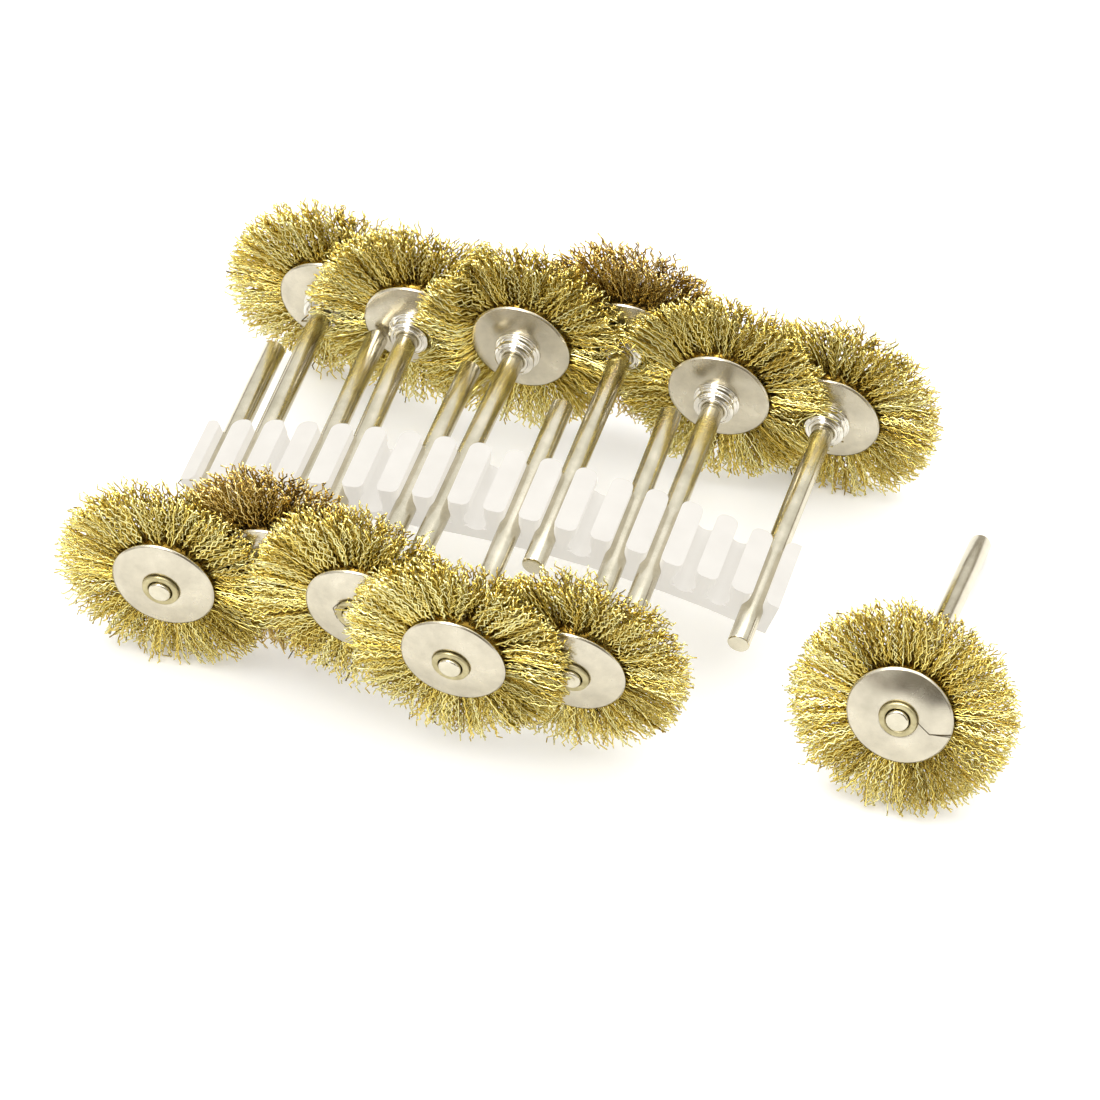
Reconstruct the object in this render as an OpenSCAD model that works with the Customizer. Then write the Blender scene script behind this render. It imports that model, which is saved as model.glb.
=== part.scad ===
// Set of twelve brass wire wheel brushes on straight mandrels. Eleven are pressed
// into the slots of a bowed plastic comb rack, head to tail, and one lies loose.
//
// X runs along the rack, Y along the mandrels from the near side to the far side,
// and Z is up. The origin is the middle of the rack's centre slot, on the axis of
// the round seat that holds a shank.

/* [Brush] */
// Diameter of the mandrel's shank
shank_d = 2.35; // [2.2:0.05:2.5]
// Length from the rim of the front flange to the tip
brush_l = 36.4; // [36:0.1:37]
// Diameter of the wire wheel
wheel_d = 22.8; // [20:0.2:22.8]
// Thickness of the wire fill between the two flanges
wheel_w = 2.8; // [2.4:0.1:2.8]
// Diameter of each pressed flange
flange_d = 11; // [9:0.2:11.4]
// Thickness of the flange sheet
flange_t = 0.28; // [0.2:0.02:0.4]
// Height that the middle of a flange is domed
flange_dome = 0.6; // [0.3:0.1:0.8]
// Outer diameter of the eyelet's rolled lip
eyelet_d = 3.9; // [3.4:0.1:4.2]
// Largest diameter of the stepped collar behind the wheel
collar_d = 5.0; // [4.4:0.1:5.2]
// Length of the collar along the shank
collar_l = 1.6; // [1.2:0.1:2]

/* [Rack] */
// Number of slots in the comb
slot_count = 17; // [17:1:17]
// Distance between slots, along the bowed row of shanks
pitch = 3.73; // [3.71:0.01:3.8]
// Radius of the bow, at the height of the shanks
bow_r = 99; // [94:1:110]
// Depth of the rack along the shanks
rack_l = 9; // [8:0.5:10]
// Width of the mouth between two teeth
mouth_w = 1.5; // [1.3:0.1:1.8]
// Height of the teeth above the shank axis
tooth_h = 2.1; // [1.8:0.1:2.6]
// Depth of the rack's underside below the shank axis
base_h = 2.35; // [2:0.05:3]
// Depth of the floor between the teeth below the shank axis
base_top = 0.9; // [0.8:0.05:1]
// Corner radius of the teeth at the far side
far_corner_r = 1; // [0.6:0.05:1.05]
// Corner radius of the teeth at the near side
near_corner_r = 0.75; // [0.5:0.05:1]

/* [Loose brush] */
// Where the tip of the loose brush touches the table: right of the centre slot
loose_x = 47.6; // [47:0.2:60]
// Where the tip of the loose brush touches the table: beyond the centre slot
loose_y = 20.5; // [10:0.5:30]
// Turn of the loose brush about the vertical
loose_turn = -0.4; // [-3:0.2:3]

/* [Hidden] */
$fn = 96;
RACKED = 11;    // brushes in the rack
LOOSE = 12;     // the loose brush
mid_slot = (slot_count + 1) / 2;
shank_r = shank_d / 2;
wheel_r = wheel_d / 2;
flange_r = flange_d / 2;
eyelet_r = eyelet_d / 2;
collar_r = collar_d / 2;
seat_gap = 0.025;                   // radial clearance of a shank in its seat
seat_r = shank_r + seat_gap;
press_gap = 0.005;                  // gap between pieces pressed on each other
barrel_r = 1.6;                     // outside of the eyelet's barrel
core_r = 1.9;                       // bore of the wire fill
hub_r = 2.3;                        // where a flange's dome becomes flat
hub_out = flange_dome + flange_t;   // flange face over the plane of its rim
lip_h = 0.36;                       // height of the eyelet's rolled lip
end_out = hub_out + lip_h + 0.3;    // shank end over the plane of the front rim
tip_chamfer = 0.18;
collar_low = wheel_w + hub_out;     // collar's large end, over the plane of the front rim
collar_lip = 0.15;                  // length of the collar's swaged lip
stub_r = 1.0;                       // the shank is turned down where it runs through the head
stub_low = -hub_out - lip_h - press_gap;
stub_high = collar_low + collar_l + collar_lip + press_gap;

// One row for each racked brush, from the left: slot, side the head lies on
// (-1 near, 1 far), distance of the flange that faces the near side from the
// rack's middle, turn and nod of the shank in degrees, and layer. Where two
// neighbouring wheels meet, the wires of the higher layer lie in front.
SLOT = 0; SIDE = 1; HEAD = 2; TURN = 3; NOD = 4; LAYER = 5;
ROWS = [
    [1, -1, 18.1, -1.5, -1.0, 3],
    [2, 1, 25.4, -0.3, 0.4, 1],
    [4, -1, 15.6, -1.5, -2.0, 1],
    [5, 1, 22.1, -0.8, 0.6, 2],
    [7, -1, 19.3, 0.3, -0.9, 2],
    [8, 1, 21.65, 1.3, -0.6, 4],
    [10, -1, 22.6, 0.4, 1.1, 3],
    [11, 1, 25.1, 0.3, 1.0, 1],
    [13, -1, 19.7, -0.8, 1.3, 1],
    [14, 1, 22.0, -0.2, -0.4, 3],
    [17, 1, 24.4, 0.8, 0.9, 2]
];

function racked(k) = k <= RACKED;
function row(k) = ROWS[k - 1];
function side(k) = racked(k) ? row(k)[SIDE] : -1;
// Distance of the front flange's rim plane from the rack's middle
function head(k) = side(k) < 0 ? row(k)[HEAD] : row(k)[HEAD] + wheel_w;
function bow_angle(slot) = (slot - mid_slot) * pitch / bow_r * 180 / PI;

// Lowest point of a racked wheel, and the table that the lowest one rests on
function wheel_low(k) = bow_r * (cos(bow_angle(row(k)[SLOT])) - 1)
    + side(k) * head(k) * sin(row(k)[NOD]) - wheel_r;
table_z = min([for (k = [1 : RACKED]) wheel_low(k)]);

// Slope of the loose brush, which lies on its tip and on the wheel's inner edge
loose_tilt = atan((wheel_r - shank_r) / (brush_l - wheel_w));

function two_digits(k) = str(k < 10 ? "0" : "", k);
function node_name(k, piece) = str("brush_", two_digits(k), "_", piece);

// Neighbours of a racked brush: heads on the same side, up to six slots away
function neighbours(k) = racked(k)
    ? [for (j = [1 : RACKED])
        if (j != k && side(j) == side(k) && abs(row(j)[SLOT] - row(k)[SLOT]) < 7) j]
    : [];

// ---- places ----

// Moves children from the centre slot to another place along the bow
module at_slot(slot) {
    translate([0, 0, -bow_r])
        rotate([0, bow_angle(slot), 0])
            translate([0, 0, bow_r]) children();
}

// Puts children in a slot, turned and nodded as that slot's shank is
module along_shank(k) {
    at_slot(row(k)[SLOT])
        rotate([row(k)[NOD], 0, -row(k)[TURN]]) children();
}

// A brush is drawn with its axis on Z: its front flange's rim plane is z = 0, the
// wheel lies above it and the shank runs up to the tip.
module place(k) {
    if (racked(k))
        along_shank(k)
            translate([0, side(k) * head(k), 0])
                rotate([side(k) * 90, 0, 0]) children();
    else
        translate([loose_x, loose_y, table_z + shank_r * cos(loose_tilt)])
            rotate([-90 - loose_tilt, 0, loose_turn])
                translate([0, 0, -brush_l]) children();
}

// ---- brush pieces ----

module tube(r_out, r_in, z_low, z_high) {
    translate([0, 0, z_low])
        difference() {
            cylinder(r = r_out, h = z_high - z_low);
            translate([0, 0, -1]) cylinder(r = r_in, h = z_high - z_low + 2);
        }
}

// Steel mandrel, with both ends chamfered. Its stub runs through the collar and the
// eyelet, from a shoulder under the collar's lip to the end peened over the eyelet.
module shank() {
    color("gainsboro")
        rotate_extrude()
            polygon([
                [0, -end_out], [shank_r - tip_chamfer, -end_out],
                [shank_r, tip_chamfer - end_out], [shank_r, stub_low],
                [stub_r, stub_low], [stub_r, stub_high], [shank_r, stub_high],
                [shank_r, brush_l - tip_chamfer],
                [shank_r - tip_chamfer, brush_l], [0, brush_l]
            ]);
}

// Height of a flange's inner face at radius r, over the plane of its rim
function dome(r) = flange_dome * (1 - pow(max(r - hub_r, 0) / (flange_r - hub_r), 1.6));

// Pressed sheet washer, domed away from the wires. It opens towards +Z.
module flange() {
    steps = 8;
    radii = [for (i = [0 : steps]) hub_r + (flange_r - hub_r) * i / steps];
    color("lightgray")
        rotate_extrude()
            polygon(concat(
                [[barrel_r + press_gap, -dome(0) - flange_t]],
                [for (r = radii) [r, -dome(r) - flange_t]],
                [for (i = [steps : -1 : 0]) [radii[i], -dome(radii[i])]],
                [[barrel_r + press_gap, -dome(0)]]
            ));
}

// The two identical flanges of a head, one each side of the wires
module flanges() {
    flange();
    translate([0, 0, wheel_w]) mirror([0, 0, 1]) flange();
}

// Hollow rivet through the head: a barrel, and a rolled lip over the front flange
module eyelet() {
    bore = stub_r + press_gap;
    color("darkkhaki") {
        tube(barrel_r, bore, -hub_out - lip_h / 2, wheel_w + hub_out - 0.1);
        rotate_extrude()
            translate([0, -hub_out])
                difference() {
                    translate([bore, -lip_h]) square([eyelet_r - bore, lip_h]);
                    translate([eyelet_r, -lip_h]) circle(r = lip_h / 2);
                }
    }
}

// Stepped ferrule pressed on the shank behind the wheel: two rings and a waist
module collar() {
    ring = collar_l * 0.3;
    waist = collar_l * 0.12;
    bore = stub_r + press_gap;
    color("silver")
        translate([0, 0, collar_low]) {
            tube(collar_r - 0.4, bore, 0, collar_l);
            tube(collar_r, bore, 0, ring);
            tube(collar_r - 0.15, bore, ring + waist, 2 * ring);
            tube(collar_r - 0.3, bore, 2 * ring + waist, collar_l - 0.1);
            tube(shank_r + 0.2, bore, collar_l, collar_l + collar_lip);
        }
}

// Fill of crimped brass wires, clamped between the flanges
module wire_fill(room = 0) {
    skin = 0.02;
    if (room > 0)
        translate([0, 0, skin - room]) cylinder(r = wheel_r + room, h = wheel_w + 2 * room);
    else
        color("goldenrod") tube(wheel_r, core_r, skin, wheel_w - skin);
}

// Room that the wires of a neighbour leave round a brush's hard pieces
module hard_room(k) {
    room = 0.25;
    tall = hub_out + room;
    translate([0, 0, -tall]) cylinder(r = flange_r + room, h = wheel_w + 2 * tall);
    translate([0, 0, -end_out - room])
        cylinder(r = collar_r + room, h = end_out + wheel_w + hub_out + collar_l + 3 * room);
    cylinder(r = shank_r + room, h = brush_l + room);
}

// Wires of one brush in place, pushed aside by the brushes next to it
module wires(k) {
    between = 0.15;
    if (len(neighbours(k)) == 0)
        place(k) wire_fill();
    else
        color("goldenrod")
            difference() {
                place(k) wire_fill();
                for (j = neighbours(k)) {
                    place(j) hard_room(j);
                    if (row(j)[LAYER] > row(k)[LAYER]) place(j) wire_fill(between);
                }
            }
}

// ---- rack ----

// Bowed bar with straight sides, from one height over the shank axis to another
module bowed_bar(z_low, z_high) {
    overhang = 0.4;
    half = bow_angle(slot_count + 0.5) + overhang / bow_r * 180 / PI;
    far = 2 * bow_r;
    translate([0, 0, -bow_r])
        intersection() {
            rotate([90, 0, 0]) tube(bow_r + z_high, bow_r + z_low, -rack_l / 2, rack_l / 2);
            rotate([90, 0, 0])
                linear_extrude(rack_l + 2, center = true)
                    polygon([[0, 0], [-far * sin(half), far * cos(half)],
                        [far * sin(half), far * cos(half)]]);
        }
}

// Space between two teeth, down to the top of the base bar
module mouth_cut() {
    translate([-mouth_w / 2, -rack_l, -base_top])
        cube([mouth_w, 2 * rack_l, base_top + 2 * tooth_h]);
}

// Opening at one end of a slot, where the corners of both teeth are rounded.
// side is 1 at the far end and -1 at the near end.
module flare_cut(side, r) {
    lap = 0.12;
    wide = mouth_w + 2 * (r - lap);
    deep = rack_l / 2 - r + lap;
    difference() {
        translate([-wide / 2, side > 0 ? deep : -deep - 2, -base_top])
            cube([wide, 2, base_top + 2 * tooth_h]);
        for (s = [-1, 1])
            translate([s * (mouth_w / 2 + r), side * (rack_l / 2 - r), -2])
                cylinder(r = r, h = 6 * tooth_h);
    }
}

// Round seat that holds a shank below the narrower mouth
module seat_cut() {
    rotate([90, 0, 0]) cylinder(r = seat_r, h = rack_l + 2, center = true);
}

// Comb rack: a row of teeth on a bowed bar, with a seat between each two teeth
module rack() {
    used = [for (k = [1 : RACKED]) row(k)[SLOT]];
    color("whitesmoke", 0.7)
        difference() {
            bowed_bar(-base_h, tooth_h);
            for (slot = [1 : slot_count])
                at_slot(slot) {
                    mouth_cut();
                    flare_cut(1, far_corner_r);
                    flare_cut(-1, near_corner_r);
                    if (len(search(slot, used)) == 0) seat_cut();
                }
            for (k = [1 : RACKED]) along_shank(k) seat_cut();
        }
}

// The loose brush keeps its two pressed rings, eyelet and collar, in one node
PIECES = ["shank", "flanges", "eyelet", "collar", "wires"];
LOOSE_PIECES = ["shank", "flanges", "rings", "wires"];

rack();
for (k = [1 : LOOSE]) {
    place(k) shank();
    place(k) flanges();
    wires(k);
}
for (k = [1 : RACKED]) {
    place(k) eyelet();
    place(k) collar();
}
place(LOOSE) {
    eyelet();
    collar();
}
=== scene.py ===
"""Brass wire wheel brushes in a comb rack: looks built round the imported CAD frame."""
import math

import bmesh
import bpy
import numpy as np
from mathutils import Matrix, Vector

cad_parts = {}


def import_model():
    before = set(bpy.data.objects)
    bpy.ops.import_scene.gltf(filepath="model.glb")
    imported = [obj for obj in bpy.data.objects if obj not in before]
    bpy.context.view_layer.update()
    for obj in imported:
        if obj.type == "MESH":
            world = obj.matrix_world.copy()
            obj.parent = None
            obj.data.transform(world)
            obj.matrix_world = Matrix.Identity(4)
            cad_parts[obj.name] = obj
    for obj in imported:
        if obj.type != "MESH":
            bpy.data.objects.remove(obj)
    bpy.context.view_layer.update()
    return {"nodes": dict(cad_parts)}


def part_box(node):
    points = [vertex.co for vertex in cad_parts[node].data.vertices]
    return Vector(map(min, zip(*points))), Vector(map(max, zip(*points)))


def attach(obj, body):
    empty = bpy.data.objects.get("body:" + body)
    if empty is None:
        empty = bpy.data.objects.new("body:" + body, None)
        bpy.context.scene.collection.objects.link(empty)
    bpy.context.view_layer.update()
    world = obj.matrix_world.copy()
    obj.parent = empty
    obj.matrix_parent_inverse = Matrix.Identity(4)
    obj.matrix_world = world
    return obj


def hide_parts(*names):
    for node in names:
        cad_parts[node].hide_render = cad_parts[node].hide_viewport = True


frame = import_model()
nodes = frame["nodes"]

MM = 0.001
SEED = 12

# ---- dimensions of a brush, in mm, measured from the rim plane of its front flange ----
SHANK_R = 1.175
WHEEL_W = 2.8           # distance between the rim planes of the two flanges
FLANGE_R = 5.5
FLANGE_T = 0.28
FLANGE_DOME = 0.6
HUB_R = 2.3             # where a flange's dome becomes flat
BARREL_R = 1.6          # eyelet's barrel, in the bore of each flange
EYELET_R = 1.95
LIP_H = 0.36
COLLAR_R = 2.5
COLLAR_L = 1.6
HUB_OUT = FLANGE_DOME + FLANGE_T
END_OUT = HUB_OUT + LIP_H + 0.3     # shank end over the rim plane of the front flange
COLLAR_END = WHEEL_W + HUB_OUT + COLLAR_L
WHEEL_R = 11.4

RACKED = 11
BRUSHES = range(1, 13)
NEAR_SIDE = (1, 3, 5, 7, 9)
FAR_SIDE = (2, 4, 6, 8, 10, 11)
# Where two neighbouring wheels meet, the wires of the higher layer lie in front
LAYER = {1: 3, 2: 1, 3: 1, 4: 2, 5: 2, 6: 4, 7: 3, 8: 1, 9: 1, 10: 3, 11: 2, 12: 0}
BROWNER_WHEELS = (3, 8)      # two wheels of browner brass


def body_name(k):
    return f"brush_{k:02d}"


# ---- meshes ----

def mesh_object(name, verts, faces, material, smooth=True):
    """A mesh object from vertices in metres and faces as index rows of one length."""
    verts, faces = np.asarray(verts, np.float32), np.asarray(faces, np.int32)
    corners = faces.shape[1]
    mesh = bpy.data.meshes.new(name)
    mesh.vertices.add(len(verts))
    mesh.vertices.foreach_set("co", verts.ravel())
    mesh.loops.add(faces.size)
    mesh.loops.foreach_set("vertex_index", faces.ravel())
    mesh.polygons.add(len(faces))
    mesh.polygons.foreach_set("loop_start", np.arange(len(faces), dtype=np.int32) * corners)
    mesh.polygons.foreach_set("use_smooth", np.full(len(faces), smooth))
    mesh.update(calc_edges=True)
    mesh.validate()
    mesh.materials.append(material)
    obj = bpy.data.objects.new(name, mesh)
    bpy.context.scene.collection.objects.link(obj)
    return obj


class Axis:
    """Frame of one brush: origin in the front flange's rim plane, a from head to tip."""

    def __init__(self, k):
        co = np.array([v.co for v in nodes[f"brush_{k:02d}_shank"].data.vertices])
        head = np.array(sum(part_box(f"brush_{k:02d}_flanges"), Vector())) / 2
        far = co[np.argmax(np.linalg.norm(co - head, axis=1))]
        rough = (far - head) / np.linalg.norm(far - head)
        along = co @ rough
        ends = [self._middle(co[np.abs(along - end) < 0.5 * MM], rough)
                for end in (along.min(), along.max())]
        self.a = (ends[1] - ends[0]) / np.linalg.norm(ends[1] - ends[0])
        along = (co - ends[0]) @ self.a
        self.origin = ends[0] + self.a * (along.min() + END_OUT * MM)
        self.reach = (along.max() - along.min()) / MM - END_OUT
        self.u = np.cross(self.a, (0, 0, 1))
        self.u /= np.linalg.norm(self.u)
        if self.u[0] < 0:
            self.u = -self.u
        self.v = np.cross(self.a, self.u)
        if self.v[2] < 0:
            self.v = -self.v

    @staticmethod
    def _middle(points, axis):
        """Middle of a ring of points, which may be unevenly spread round it."""
        side = np.cross(axis, (0, 0, 1))
        side /= np.linalg.norm(side)
        up = np.cross(side, axis)
        mid = [(points @ d).min() / 2 + (points @ d).max() / 2 for d in (side, up, axis)]
        return mid[0] * side + mid[1] * up + mid[2] * axis

    def world(self, x, y, z):
        """World position of local coordinates in mm: x to the right, y up, z to the tip."""
        x, y, z = (np.asarray(c, float)[..., None] * MM for c in (x, y, z))
        return self.origin + x * self.u + y * self.v + z * self.a

    def local(self, p):
        q = (p - self.origin) / MM
        return q @ self.u, q @ self.v, q @ self.a


def lathe(name, axis, profile, material, segments=96, warp=None):
    """Turns a closed profile of (radius, z) points round a brush's axis."""
    profile = np.array(profile, float)
    n = len(profile)
    angle = np.arange(segments) * 2 * math.pi / segments
    r, z = profile[:, 0], profile[:, 1]
    x = np.cos(angle)[:, None] * r
    y = np.sin(angle)[:, None] * r
    z = np.broadcast_to(z, x.shape)
    if warp:
        z = z + warp(x, y, z)
    i, j = np.meshgrid(np.arange(segments), np.arange(n), indexing="ij")
    i2, j2 = (i + 1) % segments, (j + 1) % n
    quads = np.stack([i * n + j, i2 * n + j, i2 * n + j2, i * n + j2], -1).reshape(-1, 4)
    verts = axis.world(x, y, z).reshape(-1, 3)
    obj = mesh_object(name, verts, quads, material)
    closed = bmesh.new()
    closed.from_mesh(obj.data)
    bmesh.ops.remove_doubles(closed, verts=closed.verts, dist=1e-7)
    bmesh.ops.dissolve_degenerate(closed, edges=closed.edges, dist=1e-7)
    bmesh.ops.recalc_face_normals(closed, faces=closed.faces)
    closed.to_mesh(obj.data)
    closed.free()
    return obj


def arc(centre, radius, start, end, steps):
    """Points of an arc in a profile, from one angle in degrees to another."""
    return [(centre[0] + radius * math.cos(math.radians(t)),
             centre[1] + radius * math.sin(math.radians(t)))
            for t in np.linspace(start, end, steps + 1)]


# ---- materials ----

def new_material(name):
    material = bpy.data.materials.new(name)
    material.use_nodes = True
    tree = material.node_tree
    return material, tree, tree.nodes["Principled BSDF"]


def add(tree, kind, **values):
    node = tree.nodes.new(kind)
    for key, value in values.items():
        if key in node.inputs:
            node.inputs[key].default_value = value
        else:
            setattr(node, key, value)
    return node


def noise(tree, scale, detail=4.0, roughness=0.6):
    """Noise in the row frame; scale is in cells per metre."""
    place = add(tree, "ShaderNodeTexCoord")
    node = add(tree, "ShaderNodeTexNoise", Scale=scale, Detail=detail, Roughness=roughness)
    tree.links.new(place.outputs["Object"], node.inputs["Vector"])
    return node


def ramp(tree, source, stops):
    node = add(tree, "ShaderNodeValToRGB")
    elements = node.color_ramp.elements
    while len(elements) < len(stops):
        elements.new(0.5)
    for element, (place, colour) in zip(elements, stops):
        element.position = place
        element.color = (*colour, 1)
    tree.links.new(source, node.inputs["Fac"])
    return node


def bump(tree, shader, source, strength, distance):
    node = add(tree, "ShaderNodeBump", Strength=strength, Distance=distance)
    tree.links.new(source, node.inputs["Height"])
    tree.links.new(node.outputs["Normal"], shader.inputs["Normal"])


def metal(name, dark, light, rough, grain, smudge, bump_mm=0.004):
    """Plated or turned metal: smudged colour, uneven gloss and a fine surface grain."""
    material, tree, shader = new_material(name)
    shader.inputs["Metallic"].default_value = 1.0
    blotch = noise(tree, smudge)
    colour = ramp(tree, blotch.outputs["Fac"], [(0.3, dark), (0.7, light)])
    tree.links.new(colour.outputs["Color"], shader.inputs["Base Color"])
    fine = noise(tree, grain, detail=3)
    gloss = add(tree, "ShaderNodeMapRange")
    gloss.inputs["To Min"].default_value = rough[0]
    gloss.inputs["To Max"].default_value = rough[1]
    tree.links.new(blotch.outputs["Fac"], gloss.inputs["Value"])
    tree.links.new(gloss.outputs["Result"], shader.inputs["Roughness"])
    bump(tree, shader, fine.outputs["Fac"], 0.35, bump_mm * MM)
    return material


def wire_metal(name, stops):
    """Brass wire. A per-vertex attribute sets its colour: a random tone from wire to wire, with
    painted shade at the root and among the middle layers of a wheel.
    """
    material, tree, shader = new_material(name)
    shader.inputs["Metallic"].default_value = 0.9
    shader.inputs["Roughness"].default_value = 0.2
    tone_and_shade = add(tree, "ShaderNodeAttribute", attribute_name="tone_and_shade")
    colour = ramp(tree, tone_and_shade.outputs["Fac"], stops)
    fine = noise(tree, 3000, detail=2)
    mix = add(tree, "ShaderNodeMix", data_type="RGBA", blend_type="MULTIPLY")
    mix.inputs["Factor"].default_value = 0.35
    stain = ramp(tree, fine.outputs["Fac"], [(0.35, (0.5, 0.42, 0.28)), (0.6, (1, 1, 1))])
    tree.links.new(colour.outputs["Color"], mix.inputs["A"])
    tree.links.new(stain.outputs["Color"], mix.inputs["B"])
    tree.links.new(mix.outputs["Result"], shader.inputs["Base Color"])
    return material


def milky_plastic():
    """Thin milky moulding on a bright table: a painted glow over a dark base colour stands in for the
    light that passes through it and evens out its faces.
    """
    material, tree, shader = new_material("rack_plastic")
    cloud = noise(tree, 260, detail=2)
    colour = ramp(tree, cloud.outputs["Fac"], [(0.3, (0.22, 0.21, 0.195)), (0.7, (0.26, 0.25, 0.235))])
    tree.links.new(colour.outputs["Color"], shader.inputs["Base Color"])
    gloss = add(tree, "ShaderNodeMapRange")
    gloss.inputs["To Min"].default_value = 0.35
    gloss.inputs["To Max"].default_value = 0.5
    tree.links.new(cloud.outputs["Fac"], gloss.inputs["Value"])
    tree.links.new(gloss.outputs["Result"], shader.inputs["Roughness"])
    shader.inputs["Specular IOR Level"].default_value = 0.25
    # Painted glow: this emission stands in for light scattered through the milky plastic
    shader.inputs["Emission Color"].default_value = (0.98, 0.94, 0.86, 1)
    shader.inputs["Emission Strength"].default_value = 0.57
    grain = noise(tree, 2500, detail=2)
    bump(tree, shader, grain.outputs["Fac"], 0.2, 0.01 * MM)
    return material


NICKEL = metal("flange_nickel", (0.46, 0.42, 0.33), (0.64, 0.59, 0.47), (0.20, 0.32), 4000, 350)
ROD = metal("shank_steel", (0.52, 0.48, 0.36), (0.70, 0.65, 0.52), (0.16, 0.24), 6000, 300, 0.003)
BRIGHT = metal("collar_nickel", (0.60, 0.57, 0.50), (0.82, 0.79, 0.72), (0.08, 0.2), 5000, 600)
DULL_BRASS = metal("eyelet_brass", (0.34, 0.29, 0.15), (0.55, 0.49, 0.29), (0.3, 0.45), 5000, 900)
# Dark metal of the seams: painted shade in the gap along an overlapped sheet edge
SEAM_SHADE = metal("seam_painted_shade", (0.10, 0.08, 0.05), (0.20, 0.17, 0.12), (0.3, 0.5), 4000, 900)
PLASTIC = milky_plastic()
BRASS = wire_metal("brass_wire", [(0.0, (0.14, 0.08, 0.01)), (0.3, (0.61, 0.43, 0.07)),
                                  (0.55, (0.98, 0.79, 0.19)), (1.0, (1.0, 0.94, 0.46))])
BROWN_BRASS = wire_metal("browner_wire", [(0.0, (0.10, 0.06, 0.01)), (0.35, (0.42, 0.28, 0.06)),
                                            (0.7, (0.85, 0.62, 0.17)), (1.0, (1.0, 0.85, 0.40))])


def brass(k):
    return BROWN_BRASS if k in BROWNER_WHEELS else BRASS


# ---- hard pieces of a brush ----

def dome(r):
    """Height of a flange's inner face over its rim plane."""
    out = max(r - HUB_R, 0) / (FLANGE_R - HUB_R)
    return FLANGE_DOME * (1 - out ** 1.6)


def flange_profile(side):
    """Pressed washer. side is -1 in front of the wires and 1 behind them."""
    radii = np.linspace(HUB_R, FLANGE_R - 0.12, 22)
    base = 0 if side < 0 else WHEEL_W
    outer = [(BARREL_R, dome(0) + FLANGE_T)] + [(r, dome(r) + FLANGE_T) for r in radii]
    rim = arc((FLANGE_R - 0.14, FLANGE_T / 2 + 0.02), FLANGE_T / 2, 80, -80, 6)
    inner = [(r, dome(r)) for r in radii[::-1]] + [(BARREL_R, dome(0))]
    return [(r, base + side * h) for r, h in outer + rim + inner]


def seam(name, axis, points, height, width):
    """Painted shade along the edge of an overlap in a front flange's sheet, on a bent line: a thin
    raised ribbon drawn in dark metal.
    """
    line = []
    for start, end in zip(points, points[1:]):
        run = np.array(end) - start
        out = np.array((run[1], -run[0])) / math.hypot(*run)
        line += [(np.array(start) + run * i / 10, out) for i in range(11)]
    verts = []
    for middle, out in line:
        for offset, lift in ((0, -0.06), (0, height), (width, -0.02), (width, -0.06)):
            x, y = middle + out * offset
            verts.append(axis.world(x, y, -dome(math.hypot(x, y)) - FLANGE_T - lift))
    n = len(line)
    faces = [(4 * i + j, 4 * i + 4 + j, 4 * i + 4 + (j + 1) % 4, 4 * i + (j + 1) % 4)
             for i in range(n - 1) for j in range(4)]
    faces += [(0, 1, 2, 3), (4 * n - 1, 4 * n - 2, 4 * n - 3, 4 * n - 4)]
    # Painted shade: the whole ribbon is drawn in the dark seam metal
    return mesh_object(name, verts, faces, SEAM_SHADE, smooth=False)


def dents(seed, depth):
    """Slow unevenness of a pressed sheet."""
    rng = np.random.default_rng(seed)
    waves = [(rng.integers(2, 5), rng.uniform(0, 6.28), rng.uniform(0.4, 1)) for _ in range(3)]

    def warp(x, y, z):
        angle, r = np.arctan2(y, x), np.hypot(x, y) / FLANGE_R
        return sum(depth * size * r ** 2 * np.cos(n * angle + turn) for n, turn, size in waves)
    return warp


SEAMS = {   # for some brushes: points x, y of each seam, with its height and width in mm
    12: [([(1.9, 0.1), (3.3, -1.1), (5.35, -0.95)], 0.05, 0.09),
         ([(3.3, -1.1), (5.3, -1.2)], 0.04, 0.05)],
    5: [([(-1.6, 1.2), (-2.3, 0.2), (-1.9, -1.2)], 0.08, 0.1),
        ([(-1.7, -1.4), (-0.6, -2.6), (0.7, -3.9), (1.1, -5.3)], 0.06, 0.08)],
}


def shank_profile(reach):
    """Straight mandrel with softly broken ends."""
    corner = 0.2
    return ([(0, -END_OUT + 0.05), (SHANK_R * 0.6, -END_OUT + 0.02)]
            + arc((SHANK_R - corner, corner - END_OUT), corner, -90, 0, 4)
            + [(SHANK_R, -END_OUT + (reach + END_OUT) * i / 6) for i in range(1, 6)]
            + arc((SHANK_R - corner, reach - corner), corner, 0, 90, 5)
            + [(SHANK_R * 0.5, reach - 0.01), (0, reach)])


def eyelet_profile():
    """Barrel of the hollow rivet and its rolled lip, in front of the front flange."""
    lip = LIP_H / 2
    top = -HUB_OUT - lip
    return ([(SHANK_R + 0.09, top + lip)]
            + arc((SHANK_R + 0.09 + lip, top), lip, 180, 270, 6)
            + arc((EYELET_R - lip, top), lip, 270, 360, 6)
            + [(EYELET_R, top + lip), (BARREL_R - 0.02, top + lip),
               (BARREL_R - 0.02, WHEEL_W + HUB_OUT - 0.1), (SHANK_R + 0.09, WHEEL_W + HUB_OUT - 0.1)])


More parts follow.
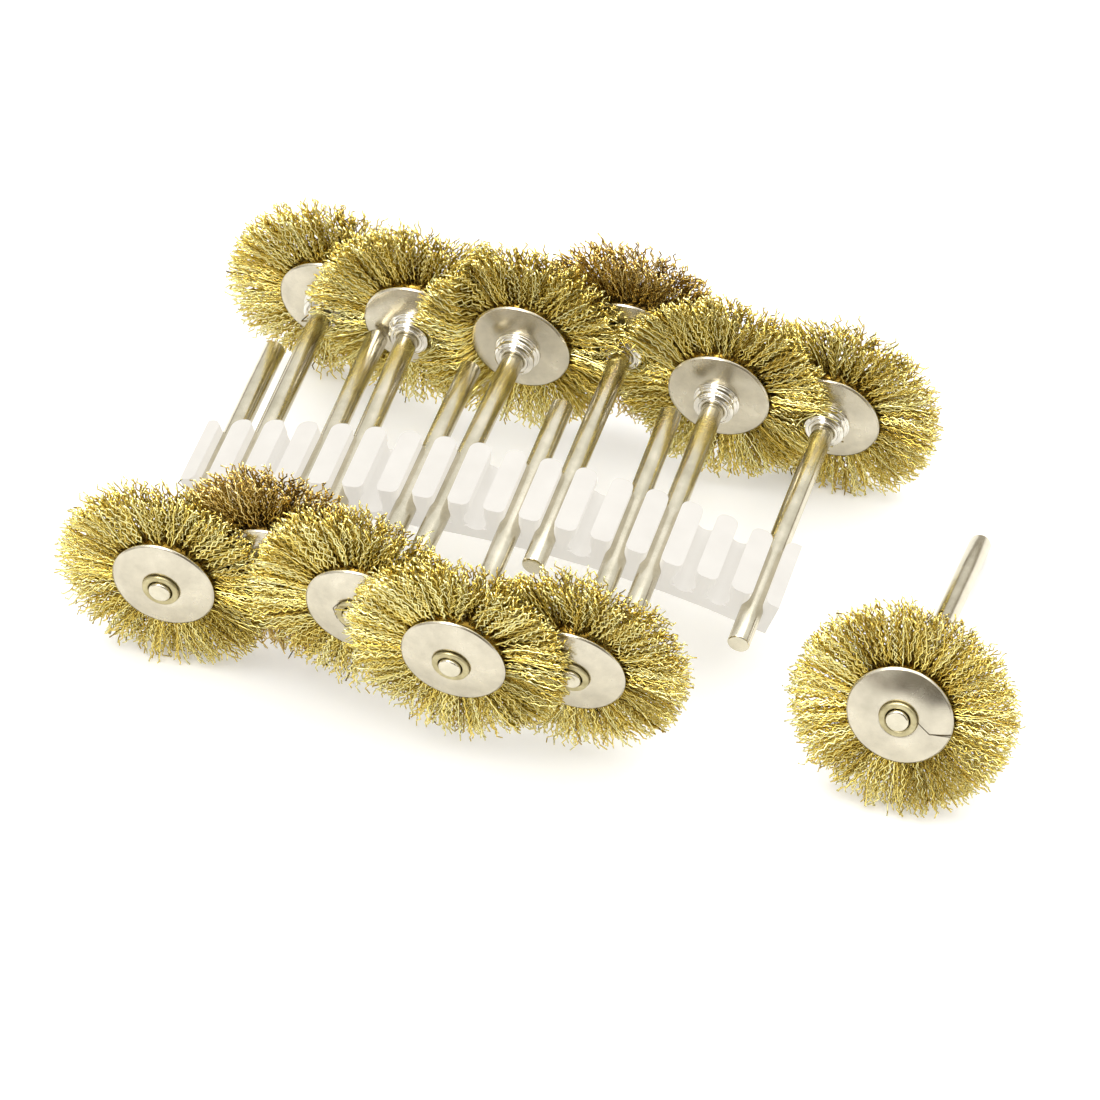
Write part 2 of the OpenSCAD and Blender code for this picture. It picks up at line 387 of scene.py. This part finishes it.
def collar_profile():
    """Turned ferrule: two thin ridges by the flange, a waist, and a round end ring."""
    low = WHEEL_W + HUB_OUT
    bore = SHANK_R + 0.01
    end = low + COLLAR_L
    return ([(bore, low), (COLLAR_R - 0.06, low)]
            + arc((COLLAR_R - 0.12, low + 0.14), 0.12, -60, 80, 4)
            + [(COLLAR_R - 0.24, low + 0.31)]
            + arc((COLLAR_R - 0.27, low + 0.44), 0.1, -70, 70, 4)
            + [(COLLAR_R - 0.42, low + 0.6), (COLLAR_R - 0.5, low + 0.8), (COLLAR_R - 0.46, low + 1.0)]
            + arc((COLLAR_R - 0.52, low + 1.27), 0.22, -60, 60, 6)
            + arc((COLLAR_R - 0.65, end - 0.15), 0.15, 20, 90, 3)
            + [(SHANK_R + 0.62, end - 0.02), (SHANK_R + 0.5, end - 0.16)]
            + arc((SHANK_R + 0.26, end - 0.08), 0.16, -10, 110, 4)
            + [(bore, end + 0.02)])


def hard_pieces(k, axis):
    """Mandrel, flanges, eyelet and collar of one brush, in place of its CAD pieces."""
    name = body_name(k)
    rings = f"{name}_rings" if k > RACKED else None
    made = [
        (lathe(f"{name}_mandrel", axis, shank_profile(axis.reach), ROD, 64), f"{name}_shank",
         "shank_steel"),
        (lathe(f"{name}_front_flange", axis, flange_profile(-1), NICKEL, 144,
               dents(100 * k, 0.03)), f"{name}_flanges", "flange_nickel"),
        (lathe(f"{name}_back_flange", axis, flange_profile(1), NICKEL, 144,
               dents(100 * k + 1, 0.03)), f"{name}_flanges", "flange_nickel"),
        (lathe(f"{name}_rolled_eyelet", axis, eyelet_profile(), DULL_BRASS, 72),
         rings or f"{name}_eyelet", "collar_nickel" if rings else "eyelet_brass"),
        (lathe(f"{name}_turned_collar", axis, collar_profile(), BRIGHT, 96),
         rings or f"{name}_collar", "collar_nickel"),
    ]
    for i, (points, height, width) in enumerate(SEAMS.get(k, [])):
        edge = seam(f"{name}_seam_{i + 1}", axis, points, height, width)
        made.append((edge, f"{name}_flanges", "flange_nickel"))
    for piece, node, slot in made:
        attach(piece, name)
        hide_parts(node)


# ---- wires ----

WIRES = 1150            # wires of a wheel
WIRE_R = 0.09           # mm
ROOT_R = 4.7            # a wire is drawn from just inside the flanges' rims
STEPS = 13              # half waves of the crimp along a wire
TUFTS = 46              # loose tufts that a wheel's wires gather in
ROOT_SHADE_TONE = 0.04        # near-black painted shade on the folded wires between the flanges


def wire_paths(k):
    """Local points (wires, steps + 1, 3) of one wheel's crimped wires, and their tones, which carry
    painted shade.
    """
    rng = np.random.default_rng(SEED + k)
    full = 2 * math.pi
    start = (np.arange(WIRES) * 0.61803 % 1 + rng.normal(0, 0.003, WIRES)) * full
    # Wires lean together into loose tufts towards their ends
    tuft = np.floor(start / full * TUFTS + rng.normal(0, 0.25, WIRES)).astype(int) % TUFTS
    tuft_at = (np.arange(TUFTS) + 0.5 + rng.uniform(-0.3, 0.3, TUFTS)) * full / TUFTS
    lean = (tuft_at[tuft] - start + math.pi) % full - math.pi
    lean = lean * rng.uniform(0.05, 0.6, WIRES) + rng.normal(0, 0.09, WIRES)
    share = np.linspace(0, 1, STEPS + 1) + rng.uniform(-0.3, 0.3, (WIRES, STEPS + 1)) / STEPS
    share[:, 0], share[:, -1] = 0, 1
    length = WHEEL_R + 0.2 + rng.normal(0, 0.13, TUFTS)[tuft] + rng.normal(0, 0.25, WIRES)
    length -= rng.exponential(0.22, WIRES)
    r = ROOT_R + (np.clip(length, 9.0, 12.1)[:, None] - ROOT_R) * share
    angle = start[:, None] + lean[:, None] * share ** 1.6
    depth = rng.uniform(-0.5, 0.5, WIRES)
    flare = rng.normal(0, 0.25, TUFTS)[tuft] + rng.normal(0, 0.25, WIRES)
    z = WHEEL_W / 2 + depth[:, None] * (WHEEL_W - 0.3) * (1 + 0.4 * share)
    z = z + flare[:, None] * share ** 2
    # Crimp: a zigzag in a plane of its own, on top of one slow bend
    sign = np.where(np.arange(STEPS + 1) % 2, 1.0, -1.0) * rng.choice((-1, 1), WIRES)[:, None]
    size = rng.uniform(0.10, 0.22, WIRES)[:, None] * np.minimum(1, 0.5 + 2 * share)
    size = size * rng.uniform(0.6, 1.4, (WIRES, STEPS + 1))
    plane = rng.normal(0, 0.75, WIRES)[:, None]
    turns = rng.uniform(0.8, 2.2, WIRES)[:, None]
    bow = np.sin(math.pi * (share * turns + rng.uniform(0, 1, WIRES)[:, None]))
    across = sign * size * np.cos(plane) + 0.2 * bow * share
    z = z + sign * size * np.sin(plane)
    x = r * np.cos(angle) - across * np.sin(angle)
    y = r * np.sin(angle) + across * np.cos(angle)
    # A few strays
    stray = rng.uniform(0, 1, WIRES) < 0.03
    z = z + np.where(stray, rng.normal(0, 0.8, WIRES), 0)[:, None] * share ** 2
    # Random tone from wire to wire, darker near the flanges (partly dirt, partly painted shade),
    # darker in the middle layers (painted shade) and lighter towards the tips (painted light)
    tone_and_shade = 0.62 + rng.normal(0, 0.24, WIRES)[:, None] - 0.22 * np.exp(-(r - FLANGE_R) / 0.9)
    tone_and_shade = tone_and_shade + 0.2 * (np.abs(depth)[:, None] * 2 - 0.5) + 0.12 * share
    return np.stack([x, y, z], -1), np.clip(tone_and_shade, 0.02, 0.98)


def smooth(t):
    t = np.clip(t, 0, 1)
    return t * t * (3 - 2 * t)


CLEAR = 3.1             # distance between the middles of a flange and of wires that pass it


def pass_neighbours(k, axes, points):
    """Bends wires in the row frame past the flanges, collar and shank of the next wheels."""
    side = NEAR_SIDE if k in NEAR_SIDE else FAR_SIDE if k in FAR_SIDE else ()
    own = axes[k]
    for j in side:
        if abs(side.index(j) - side.index(k)) != 1:
            continue
        other = axes[j]
        gap = (other.origin - own.origin) / MM
        toward = gap - (gap @ own.a) * own.a
        distance = np.linalg.norm(toward)
        toward /= distance
        local = (points - own.origin) / MM
        u = local @ toward
        front = LAYER[k] > LAYER[j]
        # The front of a pile is its near side, so front wires bend towards -Y
        apart = gap[1] if front else -gap[1]
        push = max(0.0, CLEAR - apart) * (-1 if front else 1)
        start, full = 4.6, 7.0
        amount = smooth((u - start) / (full - start))
        middle = own.origin + own.a * (WHEEL_W / 2) * MM
        off = (points - middle) @ own.a / MM
        squeeze = 1 - 0.5 * amount * (abs(push) > 0)
        points = points + ((squeeze - 1) * off * MM)[..., None] * own.a
        points = points + (amount * push * MM)[..., None] * np.array((0, 1, 0))
        # Round pieces of the neighbour push wires sideways, out of their own radius
        x, y, z = other.local(points)
        rho = np.hypot(x, y)
        inside = smooth((z + END_OUT + 0.4) / 0.4)
        hard = np.where(z < 0.2, EYELET_R, np.where(z < COLLAR_END + 0.2, COLLAR_R, SHANK_R))
        hard = np.where((z > -HUB_OUT) & (z < WHEEL_W + HUB_OUT), 0.0, hard) * inside
        hard = np.where(z > other.reach, 0.0, hard + 0.12 * (hard > 0))
        out = (rho ** 3 + hard ** 3) ** (1 / 3) - rho
        shift = np.stack([x, y], -1) / np.maximum(rho, 0.05)[..., None] * out[..., None]
        points = points + (shift[..., :1] * other.u + shift[..., 1:] * other.v) * MM
    return points


def tubes(points, radius):
    """Three-sided tubes along each path, closed at both ends."""
    count, steps = points.shape[:2]
    along = np.gradient(points, axis=1)
    along /= np.linalg.norm(along, axis=2, keepdims=True)
    first = np.cross(along, (0.31, 0.55, 0.77))
    first /= np.linalg.norm(first, axis=2, keepdims=True)
    second = np.cross(along, first)
    ring = [points + radius * (math.cos(t) * first + math.sin(t) * second)
            for t in (0, 2 * math.pi / 3, 4 * math.pi / 3)]
    verts = np.stack(ring, 2).reshape(-1, 3)
    w, s, c = np.meshgrid(np.arange(count), np.arange(steps - 1), np.arange(3), indexing="ij")
    base = (w * steps + s) * 3
    a, b = base + c, base + (c + 1) % 3
    sides = np.concatenate([np.stack([a, b, b + 3], -1).reshape(-1, 3),
                            np.stack([a, b + 3, a + 3], -1).reshape(-1, 3)])
    ends = np.arange(count)[:, None] * steps * 3
    caps = np.concatenate([ends + (0, 2, 1), ends + (steps - 1) * 3 + np.array((0, 1, 2))])
    return verts, np.concatenate([sides, caps])


def core(k, axis):
    """Folded wires deep between the flanges, where no single wire can be told apart, drawn as one
    solid that is coloured in dark painted shade.
    """
    rim, low, high = ROOT_R + 0.4, 0.16, WHEEL_W - 0.16
    profile = ([(BARREL_R, low - 0.2)] + [(r, low - dome(r) * 0.8) for r in (2.3, 3.4, 4.4)]
               + [(rim, low), (rim + 0.25, (low + high) / 2), (rim, high)]
               + [(r, high + dome(r) * 0.8) for r in (4.4, 3.4, 2.3)] + [(BARREL_R, high + 0.2)])
    return lathe(f"{body_name(k)}_wire_roots", axis, profile, brass(k), 96)


def set_tone_and_shade(mesh, tone_and_shade):
    attribute = mesh.attributes.new("tone_and_shade", "FLOAT", "POINT")
    attribute.data.foreach_set("value", np.asarray(tone_and_shade, np.float32).ravel())


def wires(k, axes):
    """Crimped wires of one wheel, with their folded roots, in place of the CAD disc."""
    local, tone_and_shade = wire_paths(k)
    points = axes[k].world(local[..., 0], local[..., 1], local[..., 2])
    points = pass_neighbours(k, axes, points)
    points[..., 2] = np.maximum(points[..., 2], table + WIRE_R * MM)
    verts, faces = tubes(points, WIRE_R * MM)
    name = body_name(k)
    wheel = mesh_object(f"{name}_crimped_wires", verts, faces, brass(k))
    set_tone_and_shade(wheel.data, np.repeat(tone_and_shade.ravel(), 3))
    roots = core(k, axes[k])
    # Painted shade: the folded roots between the flanges get the darkest tone
    set_tone_and_shade(roots.data, np.full(len(roots.data.vertices), ROOT_SHADE_TONE))
    for piece in (wheel, roots):
        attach(piece, name)
        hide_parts(f"{name}_wires")


# ---- rack ----

def rack():
    """The CAD comb, with its moulded edges rounded."""
    source = nodes["rack"]
    mesh = source.data.copy()
    mesh.name = "moulded_comb"
    mesh.materials.clear()
    mesh.materials.append(PLASTIC)
    solid = bmesh.new()
    solid.from_mesh(mesh)
    bmesh.ops.remove_doubles(solid, verts=solid.verts, dist=2e-6)
    bmesh.ops.dissolve_limit(solid, angle_limit=math.radians(2), verts=solid.verts,
                             edges=solid.edges)
    solid.to_mesh(mesh)
    solid.free()
    comb = bpy.data.objects.new("moulded_comb", mesh)
    bpy.context.scene.collection.objects.link(comb)
    round_edges = comb.modifiers.new("round", "BEVEL")
    round_edges.width = 0.12 * MM
    round_edges.segments = 2
    round_edges.angle_limit = math.radians(35)
    round_edges.use_clamp_overlap = True
    for polygon in mesh.polygons:
        polygon.use_smooth = False
    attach(comb, "rack")
    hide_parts("rack")


# ---- camera, light and floor ----

VIEW_AZIMUTH = 17.79    # degrees: the camera stands to the right of the shanks' line
VIEW_HEIGHT = 46.61     # degrees above the table
VIEW_ROLL = -1.01
LENS = 163.5            # mm on a 36 mm sensor
STAND = (114.8, -337.3, 367.9)  # mm from the middle of the rack's centre slot
GAP_AT = (0.3, -0.9, 0.32)      # direction of the gap in the tent


def look(azimuth, height):
    """Direction from the object to a viewer."""
    a, h = math.radians(azimuth), math.radians(height)
    return Vector((math.sin(a) * math.cos(h), -math.cos(a) * math.cos(h), math.sin(h)))


def camera():
    """Camera at STAND, turned by the view's azimuth, height and roll."""
    back = look(VIEW_AZIMUTH, VIEW_HEIGHT)
    right = Vector((0, 0, 1)).cross(back).normalized()
    up = back.cross(right)
    roll = math.radians(VIEW_ROLL)
    turned_right = math.cos(roll) * right + math.sin(roll) * up
    turned_up = math.cos(roll) * up - math.sin(roll) * right
    data = bpy.data.cameras.new("camera")
    data.lens = LENS
    data.sensor_width = 36
    data.clip_end = 20
    obj = bpy.data.objects.new("camera", data)
    bpy.context.scene.collection.objects.link(obj)
    obj.matrix_world = Matrix.Translation(Vector(STAND) * MM) @ Matrix(
        (turned_right, turned_up, back)).transposed().to_4x4()
    bpy.context.scene.camera = obj


def area_light(name, place, size, power):
    """A square lamp that points at the middle of the rack."""
    data = bpy.data.lights.new(name, "AREA")
    data.shape = "SQUARE"
    data.size = size
    data.energy = power
    obj = bpy.data.objects.new(name, data)
    bpy.context.scene.collection.objects.link(obj)
    obj.location = place
    obj.rotation_euler = (-Vector(place)).to_track_quat("-Z", "Y").to_euler()
    return obj


def floor():
    """Plain white table, under the lowest wheel."""
    material, tree, shader = new_material("white_table")
    fine = noise(tree, 30, detail=2)
    colour = ramp(tree, fine.outputs["Fac"], [(0.4, (0.90, 0.90, 0.895)), (0.6, (0.93, 0.93, 0.925))])
    tree.links.new(colour.outputs["Color"], shader.inputs["Base Color"])
    shader.inputs["Roughness"].default_value = 0.7
    shader.inputs["Specular IOR Level"].default_value = 0.1
    shader.inputs["Emission Color"].default_value = (1, 0.995, 0.985, 1)
    shader.inputs["Emission Strength"].default_value = 0.22     # also lit softly from below
    half = 3.0      # m
    corners = [(-half, -half, table), (half, -half, table), (half, half, table), (-half, half, table)]
    sheet = mesh_object("floor", corners, [(0, 1, 2, 3)], material, smooth=False)


def world():
    """White tent, dim and warm close to the table, with a darker gap low on the camera's side."""
    studio = bpy.data.worlds.new("studio")
    bpy.context.scene.world = studio
    studio.use_nodes = True
    tree = studio.node_tree
    place = add(tree, "ShaderNodeTexCoord")
    split = add(tree, "ShaderNodeSeparateXYZ")
    tree.links.new(place.outputs["Generated"], split.inputs["Vector"])
    tent = ramp(tree, split.outputs["Z"], [(0.0, (0.22, 0.17, 0.11)), (0.10, (0.24, 0.19, 0.13)),
                                           (0.22, (0.88, 0.87, 0.83)), (0.8, (1.0, 1.0, 1.0))])
    towards = add(tree, "ShaderNodeVectorMath", operation="DOT_PRODUCT")
    tree.links.new(place.outputs["Generated"], towards.inputs[0])
    towards.inputs[1].default_value = Vector(GAP_AT).normalized()
    gap = ramp(tree, towards.outputs["Value"], [(0.80, (1, 1, 1)), (0.93, (0.2, 0.17, 0.12))])
    mix = add(tree, "ShaderNodeMix", data_type="RGBA", blend_type="MULTIPLY")
    mix.inputs["Factor"].default_value = 1.0
    tree.links.new(tent.outputs["Color"], mix.inputs["A"])
    tree.links.new(gap.outputs["Color"], mix.inputs["B"])
    background = tree.nodes["Background"]
    tree.links.new(mix.outputs["Result"], background.inputs["Color"])
    background.inputs["Strength"].default_value = 1.1


table = min(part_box(f"{body_name(k)}_wires")[0].z for k in BRUSHES)
axes = {k: Axis(k) for k in BRUSHES}
for k in BRUSHES:
    hard_pieces(k, axes[k])
    wires(k, axes)
rack()
floor()
world()
camera()
area_light("top", (0, 0, 1.0), 1.4, 9)
# Lamps that only the metals mirror
for name, place, size, power in (("left", (-0.35, -0.25, 1.0), 0.3, 4),
                                 ("right", (0.3, 0.35, 1.0), 0.3, 4),
                                 ("front", (-0.35, -0.8, 0.85), 0.5, 7)):
    lamp = area_light(name, place, size, power)
    lamp.visible_diffuse = False
bpy.context.scene.view_settings.view_transform = "Standard"
